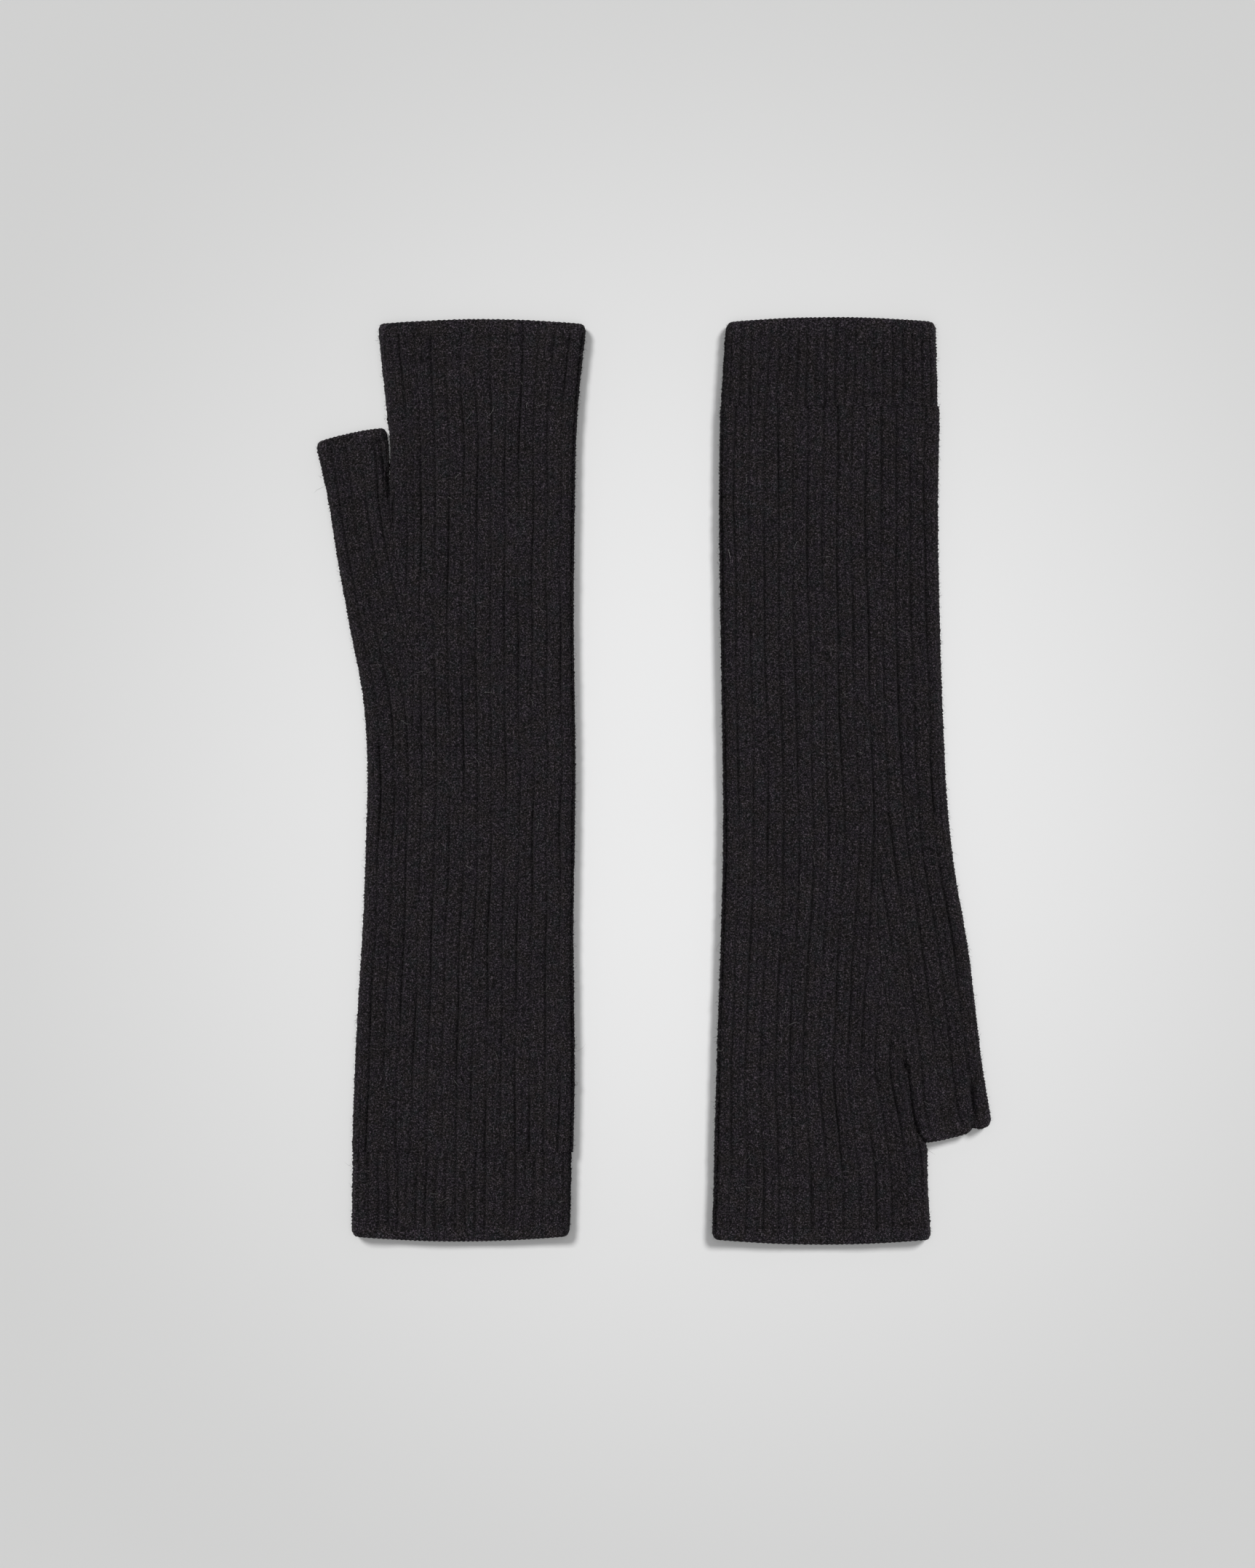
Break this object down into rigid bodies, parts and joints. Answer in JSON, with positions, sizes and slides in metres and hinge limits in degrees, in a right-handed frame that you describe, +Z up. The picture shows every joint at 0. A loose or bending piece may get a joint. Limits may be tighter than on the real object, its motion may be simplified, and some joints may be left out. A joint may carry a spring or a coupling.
{
  "type": "fingerless gloves",
  "caption": "Long rib-knit fingerless gloves with open thumb tubes and fine-rib cuffs, lying flat side by side, one turned half round.",
  "frame": {"origin": "on the table under the middle of the pair", "axes": "+Z up from the table; +Y along the right-hand glove from its cuff to its fingers; +X from the right-hand glove towards the left-hand glove"},
  "size_m": [0.2559, 0.352, 0.01],
  "materials": {
    "body_yarn": "wide rib knit in soft black wool, matt with a fine fibre bloom",
    "cuff_yarn": "fine one-by-one rib knit in the same black wool",
    "gusset_yarn": "wide rib knit, slanted towards the thumb",
    "welt_yarn": "plain knitted band with a cast-off edge",
    "seam_yarn": "linked chain stitch in the same wool"
  },
  "bodies": {
    "right_forearm": {"right_sleeve": "body_yarn", "right_sleeve_seam": "seam_yarn"},
    "right_cuff": {"right_cuff_rib": "cuff_yarn", "right_cuff_welt": "welt_yarn"},
    "right_hand": {"right_palm": "body_yarn", "right_thumb_gusset": "gusset_yarn", "right_finger_band": "body_yarn", "right_hand_welt": "welt_yarn", "right_hand_seam": "seam_yarn"},
    "right_thumb": {"right_thumb": "body_yarn", "right_thumb_welt": "welt_yarn"},
    "left_forearm": {"left_sleeve": "body_yarn", "left_sleeve_seam": "seam_yarn"},
    "left_cuff": {"left_cuff_rib": "cuff_yarn", "left_cuff_welt": "welt_yarn"},
    "left_hand": {"left_palm": "body_yarn", "left_thumb_gusset": "gusset_yarn", "left_finger_band": "body_yarn", "left_hand_welt": "welt_yarn", "left_hand_seam": "seam_yarn"},
    "left_thumb": {"left_thumb": "body_yarn", "left_thumb_welt": "welt_yarn"}
  },
  "joints": [
    {"name": "right_wrist_bend", "type": "hinge", "parent": "right_forearm", "child": "right_hand", "pos_m": [-0.0704, 0.03035, 0.01], "axis": [1, 0, 0], "range_deg": [0, 60]},
    {"name": "right_thumb_bend", "type": "hinge", "parent": "right_hand", "child": "right_thumb", "pos_m": [-0.1134, 0.10835, 0.01], "axis": [1, 0, 0], "range_deg": [0, 55]},
    {"name": "right_cuff_push", "type": "slide", "parent": "right_forearm", "child": "right_cuff", "axis": [0, 1, 0], "range_m": [0, 0.04], "deforming": ["right_sleeve", "right_sleeve_seam"]},
    {"name": "left_glove_apart", "type": "slide", "parent": "right_forearm", "child": "left_forearm", "axis": [1, 0, 0], "range_m": [0, 0.12]},
    {"name": "left_wrist_bend", "type": "hinge", "parent": "left_forearm", "child": "left_hand", "pos_m": [0.0672, -0.02915, 0.01], "axis": [-1, 0, 0], "range_deg": [0, 60]},
    {"name": "left_thumb_bend", "type": "hinge", "parent": "left_hand", "child": "left_thumb", "pos_m": [0.1122, -0.10915, 0.01], "axis": [-1, 0, 0], "range_deg": [0, 55]},
    {"name": "left_cuff_push", "type": "slide", "parent": "left_forearm", "child": "left_cuff", "axis": [0, -1, 0], "range_m": [0, 0.04], "deforming": ["left_sleeve", "left_sleeve_seam"]}
  ]
}
